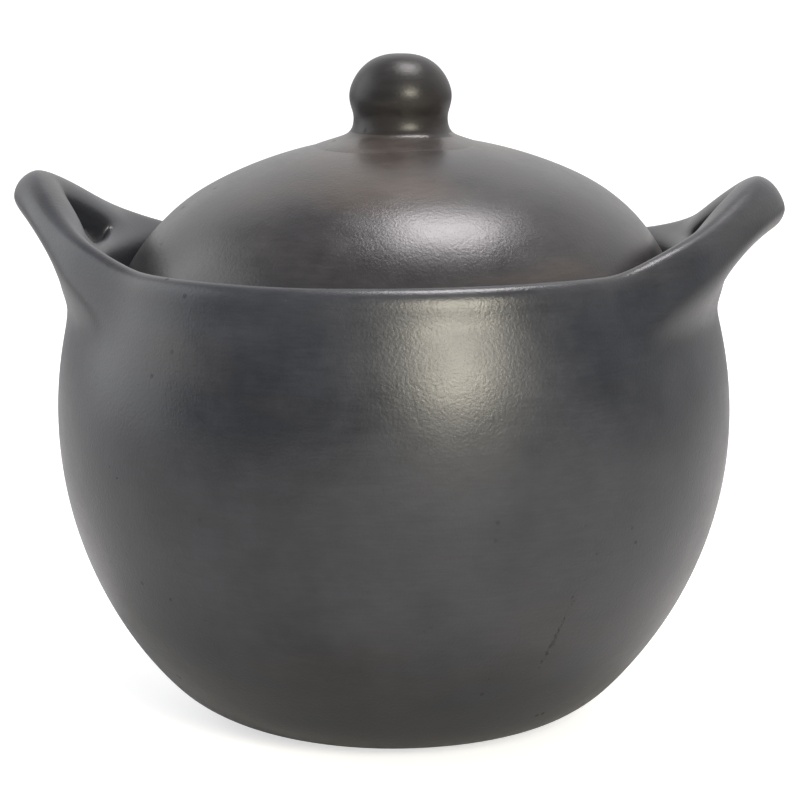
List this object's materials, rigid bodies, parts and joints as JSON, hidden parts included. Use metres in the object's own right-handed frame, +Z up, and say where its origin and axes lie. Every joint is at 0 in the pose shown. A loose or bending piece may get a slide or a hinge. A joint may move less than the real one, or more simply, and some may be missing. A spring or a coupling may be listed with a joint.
{
  "type": "lidded clay cooking pot",
  "caption": "Round-bellied burnished black clay cooking pot with a domed, knobbed lid that lifts out of its seat and loop handles at the rim.",
  "frame": {"origin": "middle of the flat foot, on the surface that the pot stands on", "axes": "+Z up out of the mouth, +X through the middle of the right-hand handle, so the handles lie along X"},
  "size_m": [0.298, 0.2624, 0.2585],
  "materials": {
    "burnished_body": "satin burnished grey-black clay",
    "scraped_clay": "matt scraped black clay",
    "burnished_lid": "satin burnished grey-black clay, a little glossier than the body"
  },
  "bodies": {
    "pot": {"base_bowl": "burnished_body", "shoulder_wall": "burnished_body", "mouth_rim": "burnished_body", "seat_ledge": "scraped_clay", "right_handle": "burnished_body", "left_handle": "burnished_body"},
    "lid": {"lid_dome": "burnished_lid", "knob_collar": "burnished_lid", "knob": "burnished_lid"}
  },
  "joints": [
    {"name": "lid_lift", "type": "slide", "parent": "pot", "child": "lid", "axis": [0, 0, 1], "range_m": [0, 0.25]}
  ]
}
